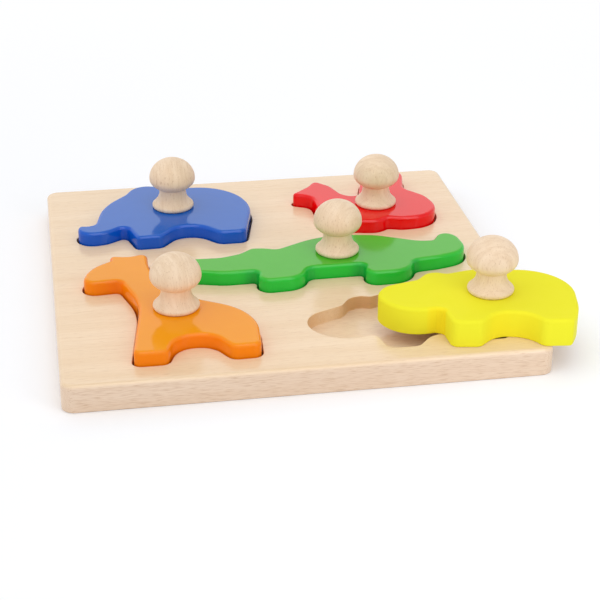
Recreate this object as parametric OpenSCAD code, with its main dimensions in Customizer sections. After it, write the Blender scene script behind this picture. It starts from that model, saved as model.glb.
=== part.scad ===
// Peg puzzle: a square beech board with five pockets, and five painted animals
// that each lift out by a turned knob. The origin is the centre of the board's
// underside, +X to the right, +Y to the back and +Z up. The hippo lies on the
// board beside its empty pocket; the other four sit in theirs.

/* [Board] */

// Width of the board, left to right
board_w = 300; // [255:1:340]
// Depth of the board, front to back
board_d = 300; // [255:1:340]
// Thickness of the board
board_t = 18; // [15:0.5:24]
// Radius of the board's four corners, seen from above
board_corner_r = 8; // [5:0.5:14]
// Radius of the rounding along the board's upper edges
board_edge_r = 3; // [1:0.5:4.5]
// Radius of the rounding along the board's lower edges
board_foot_r = 1; // [0.5:0.5:3]

/* [Pockets] */

// Depth of the pockets in the board
pocket_depth = 9; // [6:0.5:11]
// Gap between an animal and the wall of its pocket, all round
pocket_gap = 1.2; // [0.7:0.1:1.6]

/* [Animals] */

// Thickness of the animals
animal_t = 18; // [15:0.5:22]
// Radius of the rounding along the animals' upper edges, where they are as large as drawn
animal_edge_r = 2.5; // [1:0.5:2.5]
// Radius of the rounding along the animals' lower edges
animal_foot_r = 0.8; // [0.4:0.2:2]

/* [Knobs] */

// Diameter of the dome, over the small-parts limit for toddlers
knob_dome_d = 32.5; // [32:0.5:38]
// Height of the dome above its widest line
knob_dome_rise = 14.5; // [12:0.5:17]
// Depth of the dome's rounded underside below its widest line, if it closed
knob_dome_drop = 9.5; // [6:0.5:11]
// Diameter of the neck
knob_neck_d = 19; // [16:0.5:22]
// Length of the straight neck under the dome
knob_neck_l = 2; // [1:0.5:5]
// Height of the hollow curve from the foot's rim up to the neck
knob_cove_h = 9; // [7:0.5:12]
// Diameter of the foot
knob_foot_d = 29.5; // [26:0.5:32]
// Thickness of the foot's rounded rim
knob_foot_t = 4; // [3:0.5:5]

/* [Screws] */

// Outside diameter of the wood screws
screw_d = 4; // [3.5:0.5:5]
// Diameter of the countersunk screw head
screw_head_d = 8; // [7:0.5:9.5]
// How far a screw reaches into its knob
screw_bite = 14; // [10:0.5:18]
// How far the head sits below the animal's underside
screw_sink = 0.5; // [0.2:0.1:1]
// Gap around the screw where it passes through the animal
screw_gap = 0.3; // [0.2:0.1:0.6]

/* [Places] */

// Least space, across or along the board, between the outermost corners of neighbouring animals
animal_space = 25; // [21:0.5:30]
// Elephant's outermost corner from the board's left edge
elephant_from_left = 18; // [16:0.5:21]
// Elephant's outermost corner from the board's back edge
elephant_from_back = 17; // [15:0.5:19.5]
// Seal's outermost corner from the board's right edge
seal_from_right = 22.5; // [18.5:0.5:24.5]
// Seal's outermost corner from the board's back edge
seal_from_back = 13.5; // [11:0.5:16]
// Crocodile's outermost corner from the board's right edge
crocodile_from_right = 19.5; // [17.5:0.5:22.5]
// Crocodile's knob from the middle of the board, towards the front
crocodile_to_front = 7.5; // [5:0.5:10]
// Giraffe's outermost corner from the board's left edge
giraffe_from_left = 18; // [16.5:0.5:20.5]
// Giraffe's outermost corner from the board's front edge
giraffe_from_front = 19; // [17.5:0.5:21.5]
// Outermost corner of the hippo's place in its pocket, from the board's right edge
hippo_pocket_from_right = 17.5; // [14.5:0.5:19.5]
// Outermost corner of the hippo's place in its pocket, from the board's front edge
hippo_pocket_from_front = 18.5; // [17:0.5:21]
// Hippo's knob, where it lies beside its pocket, from the board's right edge
hippo_from_right = 29; // [25:0.5:34]
// Hippo's knob, where it lies beside its pocket, from the board's front edge
hippo_from_front = 49; // [45:0.5:53]
// Turn of the hippo where it lies, anticlockwise from above
hippo_turn = -9; // [-12:0.5:-6]

/* [Hidden] */

beech = [0.90, 0.79, 0.67];
knob_wood = [0.88, 0.77, 0.63];
blue = [0.16, 0.34, 0.70];
red = [0.86, 0.13, 0.15];
green = [0.22, 0.68, 0.22];
orange = [0.96, 0.52, 0.14];
yellow = [0.94, 0.90, 0.16];
zinc = [0.72, 0.72, 0.70];

$fn = 96;
// how far a cutting shape reaches past the face that it cuts
past = 1;
// how far a round corner's straight stretches may lie inside its true arc
arc_error = 0.08;
// the largest turn between two stretches of a round corner
arc_turn = 18;
// stretches in each rounded edge, and in each curve of a knob's profile
edge_steps = 3;
knob_steps = 9;

// a knob from its foot up: a round rim, a hollow curve, the neck and the dome
knob_dome_r = knob_dome_d / 2;
knob_neck_r = knob_neck_d / 2;
knob_foot_r = knob_foot_d / 2;
knob_rim_r = knob_foot_t / 2;
// how far the rim turns past its widest line before the hollow curve takes over
knob_rim_turn = 50;
knob_rim_end = [knob_foot_r - knob_rim_r, knob_rim_r] + knob_rim_r * [cos(knob_rim_turn), sin(knob_rim_turn)];
knob_cove_top = knob_rim_end.y + knob_cove_h;
// angle on the dome's underside where it meets the neck
knob_under = acos(knob_neck_r / knob_dome_r);
knob_dome_z = knob_cove_top + knob_neck_l + knob_dome_drop * sin(knob_under);

// a right-angled countersink, so the head is as deep as its rim is wide
screw_r = screw_d / 2;
screw_head_h = (screw_head_d - screw_d) / 2;
screw_len = animal_t + screw_bite - screw_sink;
screw_point = 5;
// free depth of the knob's bore past the screw's point
bore_spare = 1;

seat_z = board_t - pocket_depth;

// Outlines: each corner is [x, y, radius of its arc], measured from the knob's
// axis and listed anticlockwise. Every animal looks to the left but the seal,
// which looks to the right with its nose raised. They are drawn for a board of
// 300 mm, and shrink or grow with the room that another board has.
elephant_drawn = [
    // trunk, and the notch between it and the leg
    [-71, -39, 10.5], [-52, -39.5, 21.5], [-35.5, -28.5, 5],
    // front foot, belly and hind foot
    [-29.5, -50.5, 3.5], [-13, -50, 6], [-1.5, -35.5, 16],
    [15.5, -35.5, 18], [28, -50, 7.5], [46, -50, 6],
    // rump and back
    [56, -5.5, 44.5], [49, 20, 39.5], [29, 34, 35], [3.5, 35.5, 34.5],
    // crown, brow and forehead
    [-23.5, 46.5, 14.5], [-32.5, 28.5, 17.5], [-50.5, 8, 54.5],
    // root and tip of the trunk
    [-57.5, -25.5, 6.5], [-68.5, -23.5, 3]
];
seal_drawn = [
    // lower tip of the tail and its underside
    [-58.5, 26.5, 3], [-43, 19, 10], [-42.5, -4.5, 29.5],
    // belly, and the notch between it and the flipper
    [-30.5, -26.5, 11.5], [-4.5, -32, 14], [3, -25.5, 5],
    // flipper and chest
    [13.5, -29, 12.5], [35, -27.5, 21], [43.5, -8, 24], [39.5, 9.5, 21],
    // throat, nose, back of the head and nape
    [26.5, 26, 13], [35, 67, 10], [1, 56.5, 16], [-10, 14, 5.5],
    // back, upper tip of the tail and the fork
    [-20.5, 21, 12.5], [-26, 38, 15], [-36.5, 50, 4], [-43.5, 39.5, 8],
    [-54, 30, 3]
];
crocodile_drawn = [
    // chin and jaw
    [-112.5, -12.5, 9], [-79.5, -22, 33.5], [-56, -21.5, 4],
    // front leg, belly and hind leg
    [-60.5, -38, 8], [-30, -36, 15.5], [-24, -22, 8], [16, -21.5, 4],
    [11, -37.5, 7.5], [42.5, -36.5, 16], [48, -22, 7.5],
    // tail with its raised tip
    [66, -19.5, 49.5], [89.5, -12.5, 18], [87, 13.5, 12], [77.5, 22.5, 7],
    [68.5, 8.5, 3], [60, 8.5, 26.5],
    // back, eye and snout
    [32, 23, 39.5], [-4, 30, 63], [-39.5, 10.5, 6], [-49, 14, 19.5],
    [-57, 14.5, 4.5], [-66, 7, 14.5], [-79.5, 3, 16.5], [-101, 4, 12.5]
];
giraffe_drawn = [
    // muzzle, chin and throat
    [-57.5, 43, 7.5], [-32, 45, 5.5], [-22, 11, 77],
    // front foot, belly and hind foot
    [-31.5, -56.5, 4.5], [-11, -56.5, 5], [-4, -38, 16],
    [18.5, -38, 16.5], [28.5, -56.5, 6.5], [46, -56, 5.5],
    // rump, back and nape
    [49, -15.5, 40], [31.5, 0.5, 39.5], [-0.5, 20.5, 57.5], [-12.5, 61, 67],
    // ears and forehead
    [-11.5, 85.5, 4.5], [-23.5, 81, 14], [-37, 84, 3], [-36.5, 76.5, 3],
    [-52.5, 66, 30]
];
hippo_drawn = [
    // jaw, the notch between it and the leg, and the shoulder
    [-61, -29.5, 24.5], [-36, -23.5, 2], [-31, -25, 4],
    // front foot, belly and hind foot
    [-27.5, -42, 5], [-10, -42, 5.5], [1.5, -28, 16.5],
    [21, -30, 20], [28.5, -41, 6], [46, -40.5, 3.5],
    // rump and back
    [52.5, -25, 64.5], [54.5, 18, 32.5], [30, 32, 33.5], [-6.5, 34, 44],
    // ear, brow and nose
    [-25, 26.5, 4], [-30.5, 28.5, 3], [-38, 28, 10], [-45, 17.5, 8],
    [-76, 4, 16]
];

// how large the animals are beside their drawn size: the board's width takes the elephant and the
// seal side by side, and its depth takes the elephant behind the giraffe
room = min(
    (board_w - elephant_from_left - seal_from_right - animal_space)
        / (across(elephant_drawn, [1, 0]) + across(seal_drawn, [1, 0])),
    (board_d - elephant_from_back - giraffe_from_front - animal_space)
        / (across(elephant_drawn, [0, 1]) + across(giraffe_drawn, [0, 1]))
);
// the animals' upper edges are rounded in step with their outlines
animal_rounding = room * animal_edge_r;
elephant_corners = fitted(elephant_drawn);
seal_corners = fitted(seal_drawn);
crocodile_corners = fitted(crocodile_drawn);
giraffe_corners = fitted(giraffe_drawn);
hippo_corners = fitted(hippo_drawn);
board_corners = [
    [-board_w / 2, -board_d / 2, board_corner_r],
    [board_w / 2, -board_d / 2, board_corner_r],
    [board_w / 2, board_d / 2, board_corner_r],
    [-board_w / 2, board_d / 2, board_corner_r]
];

// knob axes from the centre of the board
elephant_at = [
    elephant_from_left + reach(elephant_corners, [-1, 0]) - board_w / 2,
    board_d / 2 - elephant_from_back - reach(elephant_corners, [0, 1])
];
seal_at = [
    board_w / 2 - seal_from_right - reach(seal_corners, [1, 0]),
    board_d / 2 - seal_from_back - reach(seal_corners, [0, 1])
];
crocodile_at = [
    board_w / 2 - crocodile_from_right - reach(crocodile_corners, [1, 0]),
    -crocodile_to_front
];
giraffe_at = [
    giraffe_from_left + reach(giraffe_corners, [-1, 0]) - board_w / 2,
    giraffe_from_front + reach(giraffe_corners, [0, -1]) - board_d / 2
];
hippo_pocket_at = [
    board_w / 2 - hippo_pocket_from_right - reach(hippo_corners, [1, 0]),
    hippo_pocket_from_front + reach(hippo_corners, [0, -1]) - board_d / 2
];
hippo_at = [board_w / 2 - hippo_from_right, hippo_from_front - board_d / 2];

function unit(v) = v / norm(v);
function item(list, i) = list[(i + len(list)) % len(list)];
function flat(c) = [c.x, c.y];

// drawn corners, made to fit the room on the board
function fitted(corners) = [for (c = corners) room * c];

// how far the corners of an outline reach from its knob's axis in one direction
function reach(corners, way) = max([for (c = corners) flat(c) * way]);
function across(corners, way) = reach(corners, way) + reach(corners, -way);

// arc that rounds corner i of an outline
function corner_arc(corners, i) =
    let(
        tip = flat(corners[i]),
        r = corners[i][2],
        back = unit(flat(item(corners, i - 1)) - tip),
        ahead = unit(flat(item(corners, i + 1)) - tip),
        half = acos(back * ahead) / 2,
        centre = tip + unit(back + ahead) * r / sin(half),
        first = tip + back * r / tan(half) - centre,
        start = atan2(first.y, first.x),
        sweep = sign(cross(ahead, back)) * (180 - 2 * half),
        steps = ceil(abs(sweep) / min(arc_turn, 2 * acos(1 - arc_error / r)))
    )
    [for (k = [0:steps]) centre + r * [cos(start + sweep * k / steps), sin(start + sweep * k / steps)]];

// whole outline as points, from its corners
function outline(corners) = [for (i = [0:len(corners) - 1]) each corner_arc(corners, i)];

// outline moved outwards by d everywhere, or inwards where d is below zero
function grow(points, d) = [
    for (i = [0:len(points) - 1])
        let(
            before = unit(points[i] - item(points, i - 1)),
            after = unit(item(points, i + 1) - points[i]),
            n1 = [before.y, -before.x],
            n2 = [after.y, -after.x]
        )
        points[i] + d * (n1 + n2) / (1 + n1 * n2)
];

// inset and height of each level of a plate with rounded edges
function levels(t, top_r, foot_r) = concat(
    [for (k = [0:edge_steps]) let(a = 90 * k / edge_steps) foot_r * [1 - sin(a), 1 - cos(a)]],
    [for (k = [0:edge_steps]) let(a = 90 * k / edge_steps) [0, t] + top_r * [1 - cos(a), sin(a) - 1]]
);

// triangles that fill an outline, cut off one corner at a time
function is_left(a, b, c) = cross(b - a, c - a) > 0;
function covers(a, b, c, p) = is_left(a, b, p) && is_left(b, c, p) && is_left(c, a, p);
function is_ear(points, ids, i) =
    let(
        a = points[item(ids, i - 1)],
        b = points[ids[i]],
        c = points[item(ids, i + 1)]
    )
    is_left(a, b, c) && len([for (k = ids) if (covers(a, b, c, points[k])) k]) == 0;
function first_ear(points, ids, i = 0) = is_ear(points, ids, i) ? i : first_ear(points, ids, i + 1);
function fill(points, ids) =
    len(ids) == 3 ? [ids] :
    let(ear = first_ear(points, ids))
    concat(
        [[item(ids, ear - 1), ids[ear], item(ids, ear + 1)]],
        fill(points, [for (i = [0:len(ids) - 1]) if (i != ear) ids[i]])
    );

// flat plate of a given outline, with its upper and lower edges rounded
module plate(corners, t, top_r, foot_r) {
    points = outline(corners);
    n = len(points);
    ids = [for (i = [0:n - 1]) i];
    rings = levels(t, top_r, foot_r);
    last = (len(rings) - 1) * n;
    polyhedron(
        points = [for (ring = rings) each [for (p = grow(points, -ring[0])) [p.x, p.y, ring[1]]]],
        faces = concat(
            fill(grow(points, -foot_r), ids),
            [for (f = fill(grow(points, -top_r), ids)) [last + f[2], last + f[1], last + f[0]]],
            [
                for (k = [0:len(rings) - 2], i = [0:n - 1])
                    let(j = (i + 1) % n)
                    [k * n + i, (k + 1) * n + i, (k + 1) * n + j, k * n + j]
            ]
        ),
        convexity = 10
    );
}

// room that an animal needs in the board
module pocket(corners) {
    linear_extrude(pocket_depth + past, convexity = 10)
        polygon(grow(outline(corners), pocket_gap));
}

module animal(corners) {
    hole_d = screw_d + 2 * screw_gap;
    cone_h = (screw_head_d - hole_d) / 2;
    difference() {
        plate(corners, animal_t, animal_rounding, animal_foot_r);
        translate([0, 0, -past]) cylinder(d = screw_head_d, h = past + screw_sink);
        translate([0, 0, screw_sink]) cylinder(d1 = screw_head_d, d2 = hole_d, h = cone_h);
        translate([0, 0, screw_sink]) cylinder(d = hole_d, h = animal_t + past);
    }
}

// part of an ellipse about [x, z], from one angle to another
function curve(x, z, a, b, from, to) = [
    for (k = [0:knob_steps])
        let(t = from + (to - from) * k / knob_steps)
        [x + a * cos(t), z + b * sin(t)]
];

// hollow curve of a knob's foot: it leaves the rim at the rim's own slope and ends upright in the neck
function cove() =
    let(
        width = knob_rim_end.x - knob_neck_r,
        slope = tan(knob_rim_turn) * knob_cove_h / width
    )
    [
        for (k = [1:knob_steps])
            let(s = 1 - k / knob_steps)
            [knob_neck_r + width * ((3 - slope) * s ^ 2 + (slope - 2) * s ^ 3), knob_cove_top - knob_cove_h * s]
    ];

module knob() {
    difference() {
        rotate_extrude() polygon(concat(
            [[0, 0]],
            curve(knob_foot_r - knob_rim_r, knob_rim_r, knob_rim_r, knob_rim_r, -90, knob_rim_turn),
            cove(),
            curve(0, knob_dome_z, knob_dome_r, knob_dome_drop, -knob_under, -knob_under / knob_steps),
            curve(0, knob_dome_z, knob_dome_r, knob_dome_rise, 0, 90)
        ));
        translate([0, 0, -past]) cylinder(d = screw_d, h = screw_bite + bore_spare + past);
    }
}

module screw() {
    rotate_extrude() polygon([
        [0, 0], [screw_head_d / 2, 0], [screw_r, screw_head_h],
        [screw_r, screw_len - screw_point], [0, screw_len]
    ]);
}

module at_elephant() { translate([each elephant_at, seat_z]) children(); }
module at_seal() { translate([each seal_at, seat_z]) children(); }
module at_crocodile() { translate([each crocodile_at, seat_z]) children(); }
module at_giraffe() { translate([each giraffe_at, seat_z]) children(); }
module at_hippo() { translate([each hippo_at, board_t]) rotate(hippo_turn) children(); }
module at_hippo_pocket() { translate([each hippo_pocket_at, seat_z]) children(); }
module on_animal() { translate([0, 0, animal_t]) children(); }
module in_animal() { translate([0, 0, screw_sink]) children(); }

module board() {
    color(beech) difference() {
        plate(board_corners, board_t, board_edge_r, board_foot_r);
        at_elephant() pocket(elephant_corners);
        at_seal() pocket(seal_corners);
        at_crocodile() pocket(crocodile_corners);
        at_giraffe() pocket(giraffe_corners);
        at_hippo_pocket() pocket(hippo_corners);
    }
}

module elephant() { color(blue) at_elephant() animal(elephant_corners); }
module elephant_knob() { color(knob_wood) at_elephant() on_animal() knob(); }
module elephant_screw() { color(zinc) at_elephant() in_animal() screw(); }

module seal() { color(red) at_seal() animal(seal_corners); }
module seal_knob() { color(knob_wood) at_seal() on_animal() knob(); }
module seal_screw() { color(zinc) at_seal() in_animal() screw(); }

module crocodile() { color(green) at_crocodile() animal(crocodile_corners); }
module crocodile_knob() { color(knob_wood) at_crocodile() on_animal() knob(); }
module crocodile_screw() { color(zinc) at_crocodile() in_animal() screw(); }

module giraffe() { color(orange) at_giraffe() animal(giraffe_corners); }
module giraffe_knob() { color(knob_wood) at_giraffe() on_animal() knob(); }
module giraffe_screw() { color(zinc) at_giraffe() in_animal() screw(); }

module hippo() { color(yellow) at_hippo() animal(hippo_corners); }
module hippo_knob() { color(knob_wood) at_hippo() on_animal() knob(); }
module hippo_screw() { color(zinc) at_hippo() in_animal() screw(); }

board();
elephant();
elephant_knob();
elephant_screw();
seal();
seal_knob();
seal_screw();
crocodile();
crocodile_knob();
crocodile_screw();
giraffe();
giraffe_knob();
giraffe_screw();
hippo();
hippo_knob();
hippo_screw();
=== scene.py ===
# Peg puzzle in a soft white studio: a beech board with five pockets, and five painted animals
# that each carry a turned knob. The pieces are worked out in millimetres, with the part's own
# sizes, and put into their meshes in metres.
import math

import bmesh
import bpy
import numpy as np
from mathutils import Matrix, Vector
from mathutils.geometry import tessellate_polygon


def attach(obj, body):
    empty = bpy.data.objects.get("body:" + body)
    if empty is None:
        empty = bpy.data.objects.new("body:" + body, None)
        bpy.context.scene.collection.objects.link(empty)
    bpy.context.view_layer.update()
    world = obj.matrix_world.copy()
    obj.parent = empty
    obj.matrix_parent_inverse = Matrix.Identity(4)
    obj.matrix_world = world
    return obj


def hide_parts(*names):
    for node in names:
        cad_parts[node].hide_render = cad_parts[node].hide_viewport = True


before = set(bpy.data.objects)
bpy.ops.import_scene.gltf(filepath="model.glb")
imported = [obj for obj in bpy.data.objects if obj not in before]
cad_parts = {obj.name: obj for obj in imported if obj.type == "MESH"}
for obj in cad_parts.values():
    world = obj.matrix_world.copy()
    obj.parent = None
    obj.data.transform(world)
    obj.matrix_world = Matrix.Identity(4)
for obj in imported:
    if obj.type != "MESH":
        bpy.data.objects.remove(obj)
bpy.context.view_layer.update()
MM = 0.001

# Sizes as the part has them, in millimetres, and the turn of the knob's rim in degrees
BOARD_SIDE = 300
BOARD_T = 18
BOARD_CORNER_R = 8
BOARD_EDGE_R = 3
BOARD_FOOT_R = 1
POCKET_DEPTH = 9
POCKET_GAP = 1.2
ANIMAL_T = 18
ANIMAL_EDGE_R = 2.5
ANIMAL_FOOT_R = 0.8
KNOB_DOME_R = 16.25
KNOB_DOME_RISE = 14.5
KNOB_DOME_DROP = 9.5
KNOB_NECK_R = 9.5
KNOB_NECK_L = 2
KNOB_COVE_H = 9
KNOB_FOOT_R = 14.75
KNOB_RIM_R = 2
KNOB_RIM_TURN = 50
KNOB_BORE_DEPTH = 15
SCREW_R = 2
SCREW_HEAD_R = 4
SCREW_LEN = 31.5
SCREW_SINK = 0.5
SCREW_POINT = 5
SCREW_HOLE_R = 2.3

# Small shapes that only the finished pieces have, in millimetres: the sanded rim and the milled foot
# of a pocket, and the fillet between a knob's neck and its dome, with the drop from dome to fillet
RIM_R = 0.5
MILL_R = 0.6
FILLET_R = 0.6
FILLET_DROP = 0.75
# Cross recess of a screw: the slots' half length and half width, the depth in the middle, the radius
# where it runs out, and the shares of the half sizes between which the slots' walls slope
RECESS_HALF_L = 2.1
RECESS_HALF_W = 0.5
RECESS_DEPTH = 1.6
RECESS_R = 3.4
RECESS_WALL = (0.75, 1.15)
# Groove of a screw's thread: the pitch, where it starts under the head, the length in which it gets its
# depth, that depth as a share of the radius, and its width as a share of the pitch
THREAD_PITCH = 1.8
GROOVE_START = 9
GROOVE_FADE = 3
GROOVE_DEPTH = 0.32
GROOVE_SHARE = 0.625

# Where wood and paint change: the width in which the tint of the board's edges fades out, the burnish of
# a straight pocket wall, and the reach of a bend along a pocket's wall and along an animal's side, over
# which painted shade deepens the burnish and the paint in bends
EDGE_FADE = 1
BURNISH_LEAST = 0.2
BURNISH_AND_SHADE_REACH = 7
CREASE_SHADE_REACH = 4
# Turn in degrees and shift in metres of the wood from one knob to the next
KNOB_GRAIN_TURN = 67
KNOB_GRAIN_SHIFT = (0.013, -0.017, 0.11)

# Meshes: the flat margin beside each rounding, which keeps the shading of the flat faces even, the steps
# of a plate's rounding and of a pocket's, the columns and rings of the turned pieces, the turn in degrees
# from which an edge stays sharp, and the distance in metres at which two points are one
MARGIN = 0.3
PLATE_STEPS = 7
POCKET_STEPS = 5
KNOB_COLUMNS = 96
SCREW_COLUMNS = 64
HEAD_RINGS = 33
SHANK_RINGS = 220
SHARP_TURN = 38
SAME_POINT = 2e-7

# Outlines: corners [x, y, radius] from the knob's axis, anticlockwise
OUTLINES = {
    "elephant": [
        [-71, -39, 10.5], [-52, -39.5, 21.5], [-35.5, -28.5, 5], [-29.5, -50.5, 3.5], [-13, -50, 6],
        [-1.5, -35.5, 16], [15.5, -35.5, 18], [28, -50, 7.5], [46, -50, 6], [56, -5.5, 44.5],
        [49, 20, 39.5], [29, 34, 35], [3.5, 35.5, 34.5], [-23.5, 46.5, 14.5], [-32.5, 28.5, 17.5],
        [-50.5, 8, 54.5], [-57.5, -25.5, 6.5], [-68.5, -23.5, 3],
    ],
    "seal": [
        [-58.5, 26.5, 3], [-43, 19, 10], [-42.5, -4.5, 29.5], [-30.5, -26.5, 11.5], [-4.5, -32, 14],
        [3, -25.5, 5], [13.5, -29, 12.5], [35, -27.5, 21], [43.5, -8, 24], [39.5, 9.5, 21],
        [26.5, 26, 13], [35, 67, 10], [1, 56.5, 16], [-10, 14, 5.5], [-20.5, 21, 12.5],
        [-26, 38, 15], [-36.5, 50, 4], [-43.5, 39.5, 8], [-54, 30, 3],
    ],
    "crocodile": [
        [-112.5, -12.5, 9], [-79.5, -22, 33.5], [-56, -21.5, 4], [-60.5, -38, 8], [-30, -36, 15.5],
        [-24, -22, 8], [16, -21.5, 4], [11, -37.5, 7.5], [42.5, -36.5, 16], [48, -22, 7.5],
        [66, -19.5, 49.5], [89.5, -12.5, 18], [87, 13.5, 12], [77.5, 22.5, 7], [68.5, 8.5, 3],
        [60, 8.5, 26.5], [32, 23, 39.5], [-4, 30, 63], [-39.5, 10.5, 6], [-49, 14, 19.5],
        [-57, 14.5, 4.5], [-66, 7, 14.5], [-79.5, 3, 16.5], [-101, 4, 12.5],
    ],
    "giraffe": [
        [-57.5, 43, 7.5], [-32, 45, 5.5], [-22, 11, 77], [-31.5, -56.5, 4.5], [-11, -56.5, 5],
        [-4, -38, 16], [18.5, -38, 16.5], [28.5, -56.5, 6.5], [46, -56, 5.5], [49, -15.5, 40],
        [31.5, 0.5, 39.5], [-0.5, 20.5, 57.5], [-12.5, 61, 67], [-11.5, 85.5, 4.5], [-23.5, 81, 14],
        [-37, 84, 3], [-36.5, 76.5, 3], [-52.5, 66, 30],
    ],
    "hippo": [
        [-61, -29.5, 24.5], [-36, -23.5, 2], [-31, -25, 4], [-27.5, -42, 5], [-10, -42, 5.5],
        [1.5, -28, 16.5], [21, -30, 20], [28.5, -41, 6], [46, -40.5, 3.5], [52.5, -25, 64.5],
        [54.5, 18, 32.5], [30, 32, 33.5], [-6.5, 34, 44], [-25, 26.5, 4], [-30.5, 28.5, 3],
        [-38, 28, 10], [-45, 17.5, 8], [-76, 4, 16],
    ],
}
# Where each animal lies: knob axis x and y, height of its underside, and turn in degrees
SEAT = BOARD_T - POCKET_DEPTH
PLACES = {
    "elephant": (-61, 86.5, SEAT, 0),
    "seal": (84, 69.5, SEAT, 0),
    "crocodile": (41, -7.5, SEAT, 0),
    "giraffe": (-74.5, -74.5, SEAT, 0),
    "hippo": (121, -101, BOARD_T, -9),
}
# The hippo lies beside its pocket
POCKETS = dict(PLACES, hippo=(78, -89.5, SEAT, 0))


# Shapes
def unit(vectors):
    """Vectors of length one."""
    return vectors / np.linalg.norm(vectors, axis=-1, keepdims=True)


def rounded_outline(corners, spacing=0.7):
    """Points and outward normals of a closed outline.

    Each corner becomes the arc of its radius that touches both its sides, and straight stretches
    join the arcs. Points lie at most one spacing apart on an arc, which has four steps or more, and
    less than four on a stretch. Every normal is square to its arc or stretch, so the shading is exact.
    """
    tips, radius = np.split(np.array(corners, float), [2], axis=1)
    radius = radius[:, 0]
    back = unit(np.roll(tips, 1, axis=0) - tips)
    ahead = unit(np.roll(tips, -1, axis=0) - tips)
    half = np.arccos(np.sum(back * ahead, axis=1)) / 2
    centre = tips + unit(back + ahead) * (radius / np.sin(half))[:, None]
    first = tips + back * (radius / np.tan(half))[:, None]
    side = np.sign(ahead[:, 0] * back[:, 1] - ahead[:, 1] * back[:, 0])
    start = np.arctan2(*(first - centre).T[::-1])
    sweep = side * (np.pi - 2 * half)
    points = []
    normals = []
    for i in range(len(tips)):
        steps = max(4, math.ceil(abs(sweep[i]) * radius[i] / spacing))
        angle = start[i] + sweep[i] * np.linspace(0, 1, steps + 1)
        ray = np.stack([np.cos(angle), np.sin(angle)], axis=1)
        arc = centre[i] + radius[i] * ray
        onward = first[(i + 1) % len(tips)] - arc[-1]
        count = int(np.linalg.norm(onward) / (4 * spacing))
        share = np.arange(1, count + 1)[:, None] / (count + 1)
        points += [arc, arc[-1] + onward * share]
        normals += [side[i] * ray, np.repeat(side[i] * ray[-1:], count, axis=0)]
    return np.concatenate(points), np.concatenate(normals)


def tightness(outline, reach, inner=False, radius=8):
    """How tightly an outline bends near each of its points, from 0 where it is straight to 1 where it
    turns with the given radius or a smaller one: the mean turn for each millimetre, under a bell
    curve of the given reach along the outline. With inner, only bends that turn inward count."""
    points, normals = outline
    length = np.linalg.norm(np.roll(points, -1, axis=0) - points, axis=1)
    after = np.roll(normals, -1, axis=0)
    turn = normals[:, 0] * after[:, 1] - normals[:, 1] * after[:, 0]
    turn = np.maximum(-turn, 0) if inner else np.abs(turn)
    along = np.cumsum(length)
    apart = np.abs(along[:, None] - along)
    apart = np.minimum(apart, along[-1] - apart)
    bell = np.exp(-(apart / reach) ** 2)
    return np.clip(radius * (bell @ turn) / (bell @ length), 0, 1)


def ellipse(x, z, a, b, start, end, steps):
    """Profile rows along part of an ellipse about (x, z), from one angle in degrees to another."""
    angle = np.radians(np.linspace(start, end, steps + 1))
    return np.stack([x + a * np.cos(angle), z + b * np.sin(angle)], axis=1)


def plate_rim(thickness, foot, top):
    """Profile rows (out, z) up the side of a plate: a flat margin on the underside, a quarter circle of
    radius foot, a quarter circle of radius top, and a flat margin on the top."""
    return np.concatenate([
        [[-foot - MARGIN, 0]],
        ellipse(-foot, foot, foot, foot, -90, 0, PLATE_STEPS),
        ellipse(-top, thickness - top, top, top, 0, 90, PLATE_STEPS),
        [[-top - MARGIN, thickness]],
    ])


def carried(outline, profile):
    """Grid of a profile carried round an outline: each row (out, z) of the profile moves every
    point of the outline along its normal by out, and lifts it to z."""
    points, normals = outline
    grid = np.empty((len(profile), len(points), 3))
    grid[:, :, :2] = points + profile[:, :1, None] * normals
    grid[:, :, 2] = profile[:, 1:]
    return grid


def turned(profile, columns):
    """Grid of a profile turned about the Z axis: each row is a ring of radius r at height z."""
    angle = np.arange(columns) * 2 * np.pi / columns
    rings = profile[:, 0, None, None] * np.stack([np.cos(angle), np.sin(angle)], axis=1)
    heights = np.broadcast_to(profile[:, 1, None, None], (len(profile), columns, 1))
    return np.concatenate([rings, heights], axis=2)


def ring_sheet(grid):
    """Vertices of a grid whose rows are closed rings, and the quads between neighbouring rows."""
    rows, columns = grid.shape[:2]
    row, column = np.meshgrid(np.arange(rows - 1), np.arange(columns), indexing="ij")
    here = row * columns + column
    beside = row * columns + (column + 1) % columns
    quads = np.stack([here, beside, beside + columns, here + columns], axis=2)
    return grid.reshape(-1, 3), quads.reshape(-1, 4).tolist()


def flat_sheet(rings, up):
    """Flat face that fills the first ring and leaves the others open, facing up or down."""
    points = np.concatenate(rings)
    flat_rings = [[Vector((p[0], p[1], 0)) for p in ring] for ring in rings]
    triangles = np.array(tessellate_polygon(flat_rings))
    a, b, c = points[triangles[:, 0]], points[triangles[:, 1]], points[triangles[:, 2]]
    area = (b[:, 0] - a[:, 0]) * (c[:, 1] - a[:, 1]) - (b[:, 1] - a[:, 1]) * (c[:, 0] - a[:, 0])
    wrong = (area > 0) != up
    triangles[wrong] = triangles[wrong][:, ::-1]
    return points, triangles.tolist()


def placed(points, place):
    """Points turned about Z and moved to a place (x, y, z, turn in degrees)."""
    x, y, z, turn = place
    cosine = math.cos(math.radians(turn))
    sine = math.sin(math.radians(turn))
    return points @ np.array([[cosine, sine, 0], [-sine, cosine, 0], [0, 0, 1]]) + [x, y, z]


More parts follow.
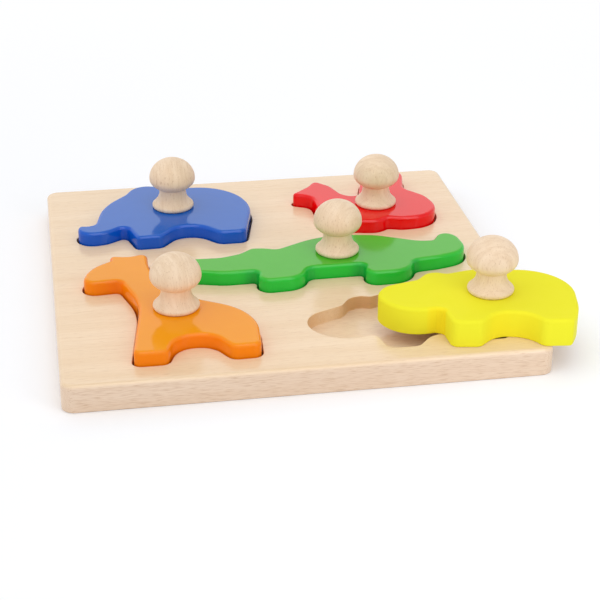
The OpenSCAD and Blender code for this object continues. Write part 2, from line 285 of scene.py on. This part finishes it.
# Pieces
def piece(name, sheets, body, slot, node, place=(0, 0, 0, 0), **attributes):
    """Closed mesh from sheets of vertices and faces in millimetres, smooth but for its sharp edges.

    It rides on a body and stands for a node. Each attribute is for the piece's material, and holds
    for each sheet, in order, three numbers for every vertex.
    """
    points = []
    faces = []
    start = 0
    for vertices, sheet_faces in sheets:
        points.append(vertices)
        faces += [[start + i for i in face] for face in sheet_faces]
        start += len(vertices)
    mesh = bpy.data.meshes.new(name)
    mesh.from_pydata(placed(np.concatenate(points), place) * MM, [], faces)
    for key, values in attributes.items():
        attribute = mesh.attributes.new(key, "FLOAT_VECTOR", "POINT")
        attribute.data.foreach_set("vector", np.concatenate([numbers.ravel() for numbers in values]))
    work = bmesh.new()
    work.from_mesh(mesh)
    bmesh.ops.remove_doubles(work, verts=work.verts, dist=SAME_POINT)
    work.to_mesh(mesh)
    work.free()
    mesh.polygons.foreach_set("use_smooth", np.ones(len(mesh.polygons), bool))
    mesh.set_sharp_from_angle(angle=math.radians(SHARP_TURN))
    made = bpy.data.objects.new(name, mesh)
    bpy.context.scene.collection.objects.link(made)
    mesh.materials.append(MATERIALS[slot])
    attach(made, body)
    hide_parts(node)


def board_piece():
    """Board: a plate with rounded edges, and for each pocket a sanded rim, a milled wall and a floor.

    A pocket's wall is carried round its animal's outline, moved out by the gap. The attribute
    "cut" says how the wood was worked, and where shade is painted, at each vertex: 1 in the
    first number on the board's outer edges, up to 1 in the second where the cutter burnished a pocket's
    wall, most of all in tight bends, where painted shade deepens the burnish, and 1 in the third on a
    pocket's floor, which is painted paler to lift the shade in the pocket.
    """
    half = BOARD_SIDE / 2
    square = [[-half, -half], [half, -half], [half, half], [-half, half]]
    outline = rounded_outline([corner + [BOARD_CORNER_R] for corner in square], spacing=0.5)
    rim = plate_rim(BOARD_T, BOARD_FOOT_R, BOARD_EDGE_R)
    around = carried(outline, rim)
    edge_cut = np.zeros(around.shape)
    edge_cut[:, :, 0] = np.clip(1 + rim[:, :1] / EDGE_FADE, 0, 1)
    sheets = [ring_sheet(around), flat_sheet([around[0]], False)]
    cuts = [edge_cut, np.zeros(around[0].shape)]
    openings = [around[-1]]
    wall = np.concatenate([
        [[RIM_R + MARGIN, BOARD_T]],
        ellipse(RIM_R, BOARD_T - RIM_R, RIM_R, RIM_R, 90, 180, POCKET_STEPS),
        ellipse(-MILL_R, SEAT + MILL_R, MILL_R, MILL_R, 0, -90, POCKET_STEPS),
        [[-MILL_R - MARGIN / 2, SEAT]],
    ])
    wall[:, 0] += POCKET_GAP
    wall_share = np.clip((BOARD_T - wall[:, 1:]) / RIM_R, 0, 1) * (wall[:, 1:] > SEAT)
    for name, place in POCKETS.items():
        x, y = place[:2]
        animal = rounded_outline(OUTLINES[name])
        hollow = carried(animal, wall) + [x, y, 0]
        sheets += [ring_sheet(hollow), flat_sheet([hollow[-1]], True)]
        cut = np.zeros(hollow.shape)
        # Burnish on the wall, with painted shade that deepens it in tight bends
        bends = tightness(animal, BURNISH_AND_SHADE_REACH)
        cut[:, :, 1] = wall_share * (BURNISH_LEAST + (1 - BURNISH_LEAST) * bends)
        # Pocket floor, which the wood's material paints paler to lift the shade in the pocket
        cut[-1, :, 2] = 1
        cuts += [cut, cut[-1]]
        openings.append(hollow[0])
    sheets.append(flat_sheet(openings, True))
    cuts.append(np.zeros(sheets[-1][0].shape))
    piece("board_of_beech", sheets, "board_body", "beech", "board", cut=cuts)


def animal_piece(name, slot):
    """Painted animal: a plate's rim carried round its outline, and the screw's countersunk hole.

    The attribute "coat" says where each vertex lies: 1 in the first number on the animal's
    sides, whose colours hold painted shade and light, up to 1 in the second where painted shade deepens
    the sides' inward bends, and 1 in the third on the bare underside.
    """
    rim = plate_rim(ANIMAL_T, ANIMAL_FOOT_R, ANIMAL_EDGE_R)
    outline = rounded_outline(OUTLINES[name])
    around = carried(outline, rim)
    cone_top = SCREW_SINK + SCREW_HEAD_R - SCREW_HOLE_R
    hole = turned(np.array([
        [SCREW_HOLE_R, ANIMAL_T], [SCREW_HOLE_R, cone_top], [SCREW_HEAD_R, SCREW_SINK], [SCREW_HEAD_R, 0],
    ]), SCREW_COLUMNS)
    under = flat_sheet([around[0], hole[-1]], False)
    upper = flat_sheet([around[-1], hole[0]], True)
    side_share = np.clip(1 + rim[:, :1] / ANIMAL_EDGE_R, 0, 1) * (rim[:, 1:] > 0)
    rim_coat = np.zeros(around.shape)
    # Sides, which take colours of their own with painted shade and light in them
    rim_coat[:, :, 0] = side_share
    # Painted shade that deepens the sides in their inward bends
    rim_coat[:, :, 1] = side_share * tightness(outline, CREASE_SHADE_REACH, inner=True)
    rim_coat[0, :, 2] = 1
    hole_coat = np.zeros(hole.shape)
    hole_coat[1:, :, 2] = 1
    under_coat = np.zeros(under[0].shape)
    under_coat[:, 2] = 1
    coats = [rim_coat, hole_coat, under_coat, np.zeros(upper[0].shape)]
    sheets = [ring_sheet(around), ring_sheet(hole), under, upper]
    piece(name + "_painted", sheets, name + "_body", slot, name, PLACES[name], coat=coats)


def knob_profile():
    """Rows of a knob: down its bore, round the foot's rim, up the hollow neck and over the dome.

    The rim is part of a circle, and the dome is part of one ellipse below its widest ring and a quarter
    of another above it. The hollow curve is a cubic in height that leaves the rim at the rim's slope and
    ends upright in the neck. A small fillet joins the neck to the dome's underside.
    """
    turn = math.radians(KNOB_RIM_TURN)
    rim_x = KNOB_FOOT_R - KNOB_RIM_R
    width = rim_x + KNOB_RIM_R * math.cos(turn) - KNOB_NECK_R
    cove_top = KNOB_RIM_R * (1 + math.sin(turn)) + KNOB_COVE_H
    slope = math.tan(turn) * KNOB_COVE_H / width
    to_go = np.linspace(1, 0, 21)[1:]
    cove_r = KNOB_NECK_R + width * ((3 - slope) * to_go**2 + (slope - 2) * to_go**3)
    cove = np.stack([cove_r, cove_top - KNOB_COVE_H * to_go], axis=1)
    dome_z = cove_top + KNOB_NECK_L + KNOB_DOME_DROP * math.sin(math.acos(KNOB_NECK_R / KNOB_DOME_R))
    fillet_x = KNOB_NECK_R + FILLET_R
    start = math.degrees(math.acos(fillet_x / KNOB_DOME_R))
    under = ellipse(0, dome_z, KNOB_DOME_R, KNOB_DOME_DROP, -start, 0, 20)
    return np.concatenate([
        [[0, KNOB_BORE_DEPTH], [SCREW_R, KNOB_BORE_DEPTH], [SCREW_R, 0]],
        ellipse(rim_x, KNOB_RIM_R, KNOB_RIM_R, KNOB_RIM_R, -90, KNOB_RIM_TURN, 12),
        cove,
        ellipse(fillet_x, under[0, 1] - FILLET_DROP, -FILLET_R, FILLET_R, 0, 60, 4),
        under[1:],
        ellipse(0, dome_z, KNOB_DOME_R, KNOB_DOME_RISE, 0, 90, 30)[1:],
    ])


def knob_piece(name, number):
    """Turned knob on top of its animal. The attribute "grain" holds its own wood coordinates, so that
    no two knobs show the same figure."""
    x, y, z = PLACES[name][:3]
    place = (x, y, z + ANIMAL_T, KNOB_GRAIN_TURN * number)
    points, faces = ring_sheet(turned(knob_profile(), KNOB_COLUMNS))
    grain = points * MM + np.array(KNOB_GRAIN_SHIFT) * (number + 1)
    piece(
        name + "_knob_turned", [(points, faces)], name + "_body", "knob_wood", name + "_knob", place,
        grain=[grain],
    )


def screw_piece(name):
    """Countersunk wood screw: rings from the middle of the head, down its cone and along the shank.

    The cross recess sinks the head where either of two slots is near, less and less away from the
    middle. A groove along one helix takes away a share of the shank's radius, and what stands between
    its turns is the thread.
    """
    head = np.stack([np.linspace(0, SCREW_HEAD_R, HEAD_RINGS), np.zeros(HEAD_RINGS)], axis=1)
    height = np.linspace(SCREW_HEAD_R - SCREW_R, SCREW_LEN, SHANK_RINGS)
    shank = np.stack([np.clip((SCREW_LEN - height) / SCREW_POINT, 0, 1) * SCREW_R, height], axis=1)
    grid = turned(np.concatenate([head, shank]), SCREW_COLUMNS)
    away = np.abs(grid[:HEAD_RINGS, :, :2])
    slots = np.min(np.maximum(away / RECESS_HALF_L, away[:, :, ::-1] / RECESS_HALF_W), axis=2)
    sunk = np.interp(slots, RECESS_WALL, (1, 0)) * np.clip(1 - head[:, :1] / RECESS_R, 0, 1)
    grid[:HEAD_RINGS, :, 2] = RECESS_DEPTH * sunk
    phase = (height[:, None] / THREAD_PITCH - np.arange(SCREW_COLUMNS) / SCREW_COLUMNS) % 1
    wave = 1 - np.abs(phase * 2 - 1)
    begun = np.clip((height[:, None] - GROOVE_START) / GROOVE_FADE, 0, 1)
    groove = GROOVE_DEPTH * begun * (1 - np.clip(wave / GROOVE_SHARE, 0, 1))
    grid[HEAD_RINGS:, :, :2] *= (1 - groove)[:, :, None]
    x, y, z, turn = PLACES[name]
    place = (x, y, z + SCREW_SINK, turn)
    sheets = [ring_sheet(grid[::-1])]
    piece(name + "_screw_zinc", sheets, name + "_body", "zinc_steel", name + "_screw", place)


# Materials. Sockets of a Mix node that mixes colours: the share, the two colours and the result
MIX_SHARE = 0
MIX_FROM = 6
MIX_TO = 7
MIXED = 2
# Typical IOR of lacquer and paint
FILM_IOR = 1.5


def colour(code):
    """Linear colour with alpha from an sRGB hex code."""
    value = np.array([int(code[i:i + 2], 16) for i in (1, 3, 5)]) / 255
    value = np.where(value <= 0.04045, value / 12.92, ((value + 0.055) / 1.055) ** 2.4)
    return (*value.tolist(), 1.0)


def pattern_scale(sizes):
    """Scales that make a pattern of the given sizes in millimetres on coordinates in metres."""
    return [1 / (size * MM) for size in sizes]


def add(tree, kind, sockets=None, **settings):
    """Adds one node. Settings go on the node, and each socket gets a value or a link from an output."""
    made = tree.nodes.new(kind)
    for name, value in settings.items():
        setattr(made, name, value)
    for name, value in (sockets or {}).items():
        if isinstance(value, bpy.types.NodeSocket):
            tree.links.new(value, made.inputs[name])
        else:
            made.inputs[name].default_value = value
    return made


def new_material(name):
    """Empty node material, and its tree."""
    made = bpy.data.materials.new(name)
    made.use_nodes = True
    made.node_tree.nodes.clear()
    return made, made.node_tree


def wood(name, light, dark, fleck, coordinates, roughness, specular, grain):
    """Sanded beech under clear satin lacquer.

    Beech is pale and even: faint pinkish streaks, fine growth lines, and short darker ray flecks, of
    which more show where the board was sawn and milled. Its edges are a little greyer, the floors of its
    pockets are painted a little paler to lift the shade in them, and where a cutter burnished the walls
    of a pocket the wood is brown, with painted shade that browns it more in tight bends. grain gives the
    size of a streak, of a line and of a fleck along X, Y and Z in millimetres.
    """
    made, tree = new_material(name)
    if coordinates == "Object":
        place = add(tree, "ShaderNodeTexCoord").outputs["Object"]
    else:
        place = add(tree, "ShaderNodeAttribute", attribute_name=coordinates).outputs["Vector"]
    cut = add(tree, "ShaderNodeSeparateXYZ", {
        "Vector": add(tree, "ShaderNodeAttribute", attribute_name="cut").outputs["Vector"],
    }).outputs
    figures = []
    for sizes, detail in zip(grain, (2.0, 3.0, 1.0)):
        stretched = add(tree, "ShaderNodeMapping", {"Vector": place, "Scale": pattern_scale(sizes)})
        figures.append(add(tree, "ShaderNodeTexNoise", {
            "Vector": stretched.outputs["Vector"], "Scale": 1.0, "Detail": detail,
        }).outputs["Fac"])
    streak, line, ray = figures
    flecks = ray
    for number, more in (("X", 0.08), ("Y", 0.08), ("Z", 0.06)):
        flecks = add(tree, "ShaderNodeMath", {
            0: cut[number], 1: more, 2: flecks,
        }, operation="MULTIPLY_ADD").outputs["Value"]
    # Each layer takes over from 0 to its most as its value goes from low to high
    shade = colour(light)
    for value, low, high, most, tint in (
        (streak, 0.3, 0.7, 0.55, dark),
        (line, 0.45, 0.7, 0.55, dark),
        (cut["X"], 0, 1, 0.3, "#E5D0CE"),
        # Pocket floors, painted paler to lift the shade in them
        (cut["Z"], 0, 1, 0.2, "#F4DCC8"),
        # Burnished pocket walls, with painted shade that browns them more in tight bends
        (cut["Y"], 0, 1, 1, "#D09A62"),
        (flecks, 0.6, 0.78, 0.58, fleck),
    ):
        part = add(tree, "ShaderNodeMapRange", {
            "Value": value, "From Min": low, "From Max": high, "To Max": most,
        })
        shade = add(tree, "ShaderNodeMix", {
            MIX_SHARE: part.outputs["Result"], MIX_FROM: shade, MIX_TO: colour(tint),
        }, data_type="RGBA").outputs[MIXED]
    # The lacquer is a little duller along the growth lines, and the harder flecks stand a little proud
    gloss = add(tree, "ShaderNodeMapRange", {
        "Value": line, "To Min": roughness - 0.06, "To Max": roughness + 0.1,
    })
    relief = add(tree, "ShaderNodeBump", {"Strength": 0.06, "Distance": 0.2 * MM, "Height": ray})
    surface = add(tree, "ShaderNodeBsdfPrincipled", {
        "Base Color": shade, "Roughness": gloss.outputs["Result"], "IOR": FILM_IOR,
        "Specular IOR Level": specular, "Normal": relief.outputs["Normal"],
    })
    add(tree, "ShaderNodeOutputMaterial", {"Surface": surface.outputs["BSDF"]})
    return made


def paint(name, full, thin, side_shading, inner, roughness, specular):
    """Paint on wood: a deep even colour under a smooth film that mirrors what is around it.

    The film is a little uneven, over patches of about 12 mm, and a trace of the wood's grain, in lines
    40 mm long and 1.5 mm wide, shows through it. Where the film lies thin the colour is the second one.
    The sides take colours of their own, with painted shade and light in them, and painted shade
    deepens them most in their inward bends. The underside is bare beech.
    """
    made, tree = new_material(name)
    place = add(tree, "ShaderNodeTexCoord").outputs["Object"]
    stretched = add(tree, "ShaderNodeMapping", {"Vector": place, "Scale": pattern_scale((40, 1.5, 1.5))})
    grain = add(tree, "ShaderNodeTexNoise", {
        "Vector": stretched.outputs["Vector"], "Scale": 1.0, "Detail": 2.0,
    }).outputs["Fac"]
    film = add(tree, "ShaderNodeTexNoise", {
        "Vector": place, "Scale": 1 / (12 * MM), "Detail": 2.0,
    }).outputs["Fac"]
    cover = add(tree, "ShaderNodeMapRange", {
        "Value": film, "From Min": 0.35, "From Max": 0.75, "To Max": 0.35,
    })
    beech = add(tree, "ShaderNodeMix", {
        MIX_SHARE: grain, MIX_FROM: colour("#EFD5B4"), MIX_TO: colour("#D9B98F"),
    }, data_type="RGBA").outputs[MIXED]
    coat = add(tree, "ShaderNodeSeparateXYZ", {
        "Vector": add(tree, "ShaderNodeAttribute", attribute_name="coat").outputs["Vector"],
    }).outputs
    shade = colour(full)
    for share, tint in (
        (cover.outputs["Result"], colour(thin)),
        # Sides with their painted shade and light
        (coat["X"], colour(side_shading)),
        # Painted shade in the sides' inward bends
        (coat["Y"], colour(inner)),
        (coat["Z"], beech),
    ):
        shade = add(tree, "ShaderNodeMix", {
            MIX_SHARE: share, MIX_FROM: shade, MIX_TO: tint,
        }, data_type="RGBA").outputs[MIXED]
    gloss = add(tree, "ShaderNodeMapRange", {
        "Value": film, "To Min": roughness - 0.03, "To Max": roughness + 0.03,
    })
    relief = add(tree, "ShaderNodeBump", {"Strength": 0.05, "Distance": 0.05 * MM, "Height": grain})
    surface = add(tree, "ShaderNodeBsdfPrincipled", {
        "Base Color": shade, "Roughness": gloss.outputs["Result"], "IOR": FILM_IOR,
        "Specular IOR Level": specular, "Normal": relief.outputs["Normal"],
    })
    add(tree, "ShaderNodeOutputMaterial", {"Surface": surface.outputs["BSDF"]})
    return made


def zinc(name):
    """Bright zinc plating on steel: grey metal with soft blotches of about 3 mm."""
    made, tree = new_material(name)
    place = add(tree, "ShaderNodeTexCoord").outputs["Object"]
    cloud = add(tree, "ShaderNodeTexNoise", {
        "Vector": place, "Scale": 1 / (3 * MM), "Detail": 3.0,
    }).outputs["Fac"]
    shade = add(tree, "ShaderNodeMix", {
        MIX_SHARE: cloud, MIX_FROM: colour("#C9CACB"), MIX_TO: colour("#A7A9AC"),
    }, data_type="RGBA").outputs[MIXED]
    gloss = add(tree, "ShaderNodeMapRange", {"Value": cloud, "To Min": 0.22, "To Max": 0.42})
    surface = add(tree, "ShaderNodeBsdfPrincipled", {
        "Base Color": shade, "Metallic": 1.0, "Roughness": gloss.outputs["Result"],
    })
    add(tree, "ShaderNodeOutputMaterial", {"Surface": surface.outputs["BSDF"]})
    return made


# Streaks, lines and flecks run along X in the board, and along Z in a knob
BOARD_GRAIN = ((160, 14, 14), (45, 1.1, 1.1), (7, 0.32, 0.32))
KNOB_GRAIN = ((5, 12, 40), (1.3, 7, 30), (0.6, 0.6, 3.4))
MATERIALS = {
    # Sanded panel: a soft sheen over long, faint streaks
    "beech": wood(
        "beech_satin_lacquer", "#EFD5B4", "#E5C69F", "#C69E79", "Object", 0.17, 0.42, BOARD_GRAIN,
    ),
    # Turned knobs: duller, with shorter streaks and flecks that run up them
    "knob_wood": wood(
        "turned_beech_satin_lacquer", "#F1DABF", "#DEC1A0", "#BC9570", "grain", 0.42, 0.15, KNOB_GRAIN,
    ),
    # Gloss paints: the tops mirror the white room and look paler than the sides. The third and fourth
    # colours are the sides' own painted shade and light, and the painted shade in their inward bends
    "blue_paint": paint("blue_gloss_paint", "#0A5DBA", "#1864C0", "#0854C4", "#0650C4", 0.1, 0.32),
    "red_paint": paint("red_gloss_paint", "#E80306", "#EA0E0C", "#EC0004", "#EC0006", 0.1, 0.32),
    "green_paint": paint("green_gloss_paint", "#4AB224", "#52B62E", "#26C23C", "#1EB040", 0.1, 0.25),
    "orange_paint": paint("orange_gloss_paint", "#F19806", "#F39E10", "#F7860C", "#F97D0E", 0.1, 0.18),
    # Satin paint: top and sides show nearly the same yellow, with painted light in the sides' colours
    "yellow_paint": paint("yellow_satin_paint", "#EAE530", "#EDE73A", "#EEEA34", "#F6E328", 0.35, 0.01),
    # Screws under the animals: bright grey metal
    "zinc_steel": zinc("zinc_plated_steel"),
}
PAINTS = {
    "elephant": "blue_paint",
    "seal": "red_paint",
    "crocodile": "green_paint",
    "giraffe": "orange_paint",
    "hippo": "yellow_paint",
}

board_piece()
for number, (animal, slot) in enumerate(PAINTS.items()):
    animal_piece(animal, slot)
    knob_piece(animal, number)
    screw_piece(animal)


# Studio. Half the side of the floor, and the distances from its middle between which it fades to plain
# white, in metres
FLOOR_HALF = 6
FLOOR_FADE = (0.3, 0.9)
# The floor's colour for the camera, in linear values, because its blue lies just past white
FLOOR_IN_SIGHT = (0.99, 1, 1.025, 1)
WHITE = (1, 1, 1, 1)
# Light that the surroundings shed from the left and from the right
LEFT_LIGHT = 1.19
RIGHT_LIGHT = 0.46
# The soft box that the pieces mirror: the way to its middle, the cosines of the angles from that way at
# which it begins and has its full strength, and that strength
MIRRORED_WAY = (0, -0.53, 0.85)
MIRRORED_RIM = (0.84, 0.9)
MIRRORED_LIGHT = 3.2


def in_sight(tree):
    """Output that is 1 for what the camera sees, straight or by way of a gloss or a glass, and 0 for
    light that falls on the pieces."""
    path = add(tree, "ShaderNodeLightPath").outputs
    either = add(tree, "ShaderNodeMath", {
        0: path["Is Camera Ray"], 1: path["Is Glossy Ray"],
    }, operation="MAXIMUM").outputs["Value"]
    return add(tree, "ShaderNodeMath", {
        0: either, 1: path["Is Transmission Ray"],
    }, operation="MAXIMUM").outputs["Value"]


def white_paper(name):
    """White paper, which sheds less light on the pieces than the camera sees on it. It keeps the soft
    shadow round the board, and fades to plain white further out."""
    made, tree = new_material(name)
    made.cycles.emission_sampling = "NONE"
    sight = in_sight(tree)
    sheet = add(tree, "ShaderNodeMix", {
        MIX_SHARE: sight, MIX_FROM: colour("#EFEFEF"), MIX_TO: FLOOR_IN_SIGHT,
    }, data_type="RGBA").outputs[MIXED]
    lit = add(tree, "ShaderNodeBsdfDiffuse", {"Color": sheet})
    plain = add(tree, "ShaderNodeEmission", {"Color": WHITE})
    away = add(tree, "ShaderNodeVectorMath", {
        0: add(tree, "ShaderNodeTexCoord").outputs["Object"],
    }, operation="LENGTH")
    near, far = FLOOR_FADE
    fade = add(tree, "ShaderNodeMapRange", {
        "Value": away.outputs["Value"], "From Min": near, "From Max": far, "To Max": sight,
    })
    surface = add(tree, "ShaderNodeMixShader", {
        0: fade.outputs["Result"], 1: lit.outputs["BSDF"], 2: plain.outputs["Emission"],
    })
    add(tree, "ShaderNodeOutputMaterial", {"Surface": surface.outputs["Shader"]})
    return made


def white_studio(name):
    """White surroundings, which shed more light from the left than from the right. What the pieces mirror
    of them is white too, and brighter in a wide soft box high in front, which draws a fine light line
    along their rounded edges."""
    made = bpy.data.worlds.new(name)
    made.use_nodes = True
    tree = made.node_tree
    tree.nodes.clear()
    toward = add(tree, "ShaderNodeTexCoord").outputs["Generated"]
    sideways = add(tree, "ShaderNodeSeparateXYZ", {"Vector": toward})
    shed = add(tree, "ShaderNodeMapRange", {
        "Value": sideways.outputs["X"], "From Min": -1.0, "To Min": LEFT_LIGHT, "To Max": RIGHT_LIGHT,
    })
    nearness = add(tree, "ShaderNodeVectorMath", {0: toward, 1: MIRRORED_WAY}, operation="DOT_PRODUCT")
    begins, full = MIRRORED_RIM
    mirrored = add(tree, "ShaderNodeMapRange", {
        "Value": nearness.outputs["Value"], "From Min": begins, "From Max": full,
        "To Min": 1.0, "To Max": MIRRORED_LIGHT,
    })
    level = add(tree, "ShaderNodeMapRange", {
        "Value": in_sight(tree), "To Min": shed.outputs["Result"], "To Max": mirrored.outputs["Result"],
    })
    background = add(tree, "ShaderNodeBackground", {"Color": WHITE, "Strength": level.outputs["Result"]})
    add(tree, "ShaderNodeOutputWorld", {"Surface": background.outputs["Background"]})
    return made


def lamp(name, place, target, width, height, watts):
    """Soft box at a place, turned to a target."""
    light = bpy.data.lights.new(name, "AREA")
    light.shape = "RECTANGLE"
    light.size = width
    light.size_y = height
    light.energy = watts
    made = bpy.data.objects.new(name, light)
    turn = (Vector(target) - Vector(place)).to_track_quat("-Z", "Y")
    made.matrix_world = Matrix.Translation(place) @ turn.to_matrix().to_4x4()
    bpy.context.scene.collection.objects.link(made)


floor_corners = [(x * FLOOR_HALF, y * FLOOR_HALF, 0) for x, y in ((-1, -1), (1, -1), (1, 1), (-1, 1))]
floor_mesh = bpy.data.meshes.new("floor")
floor_mesh.from_pydata(floor_corners, [], [(0, 1, 2, 3)])
floor_mesh.materials.append(white_paper("white_paper"))
floor = bpy.data.objects.new("floor", floor_mesh)
bpy.context.scene.collection.objects.link(floor)

bpy.context.scene.world = white_studio("white_studio")
lamp("top_soft_box", (0.2, -0.3, 1.25), (0, 0, 0), 1.0, 1.0, 1.8)
lamp("front_soft_box", (0.42, -0.6, 0.35), (0.12, 0, 0), 0.4, 0.4, 1.05)
lamp("back_soft_box", (0.1, 1.2, 0.75), (0, 0, 0), 1.8, 0.9, 2.3)

# Camera fitted to the board's edges in the photograph: angles in radians, place in metres, focal length
# and picture side in pixels, sensor in millimetres
YAW = 0.17094
PITCH = 0.46196
ROLL = 0.00458
CAMERA_PLACE = (-0.14753, -0.95290, 0.46948)
FOCAL_PIXELS = 1567.6
PICTURE_PIXELS = 600
SENSOR_WIDTH = 36
forward = np.array([math.sin(YAW) * math.cos(PITCH), math.cos(YAW) * math.cos(PITCH), -math.sin(PITCH)])
level_right = np.array([math.cos(YAW), -math.sin(YAW), 0])
level_up = np.cross(level_right, forward)
view = np.eye(4)
view[:3, 0] = level_right * math.cos(ROLL) + level_up * math.sin(ROLL)
view[:3, 1] = level_up * math.cos(ROLL) - level_right * math.sin(ROLL)
view[:3, 2] = -forward
view[:3, 3] = CAMERA_PLACE
camera_data = bpy.data.cameras.new("camera")
camera_data.sensor_width = SENSOR_WIDTH
camera_data.lens = FOCAL_PIXELS / PICTURE_PIXELS * SENSOR_WIDTH
camera = bpy.data.objects.new("camera", camera_data)
camera.matrix_world = Matrix(view.tolist())
bpy.context.scene.collection.objects.link(camera)
bpy.context.scene.camera = camera
bpy.context.scene.view_settings.view_transform = "Standard"
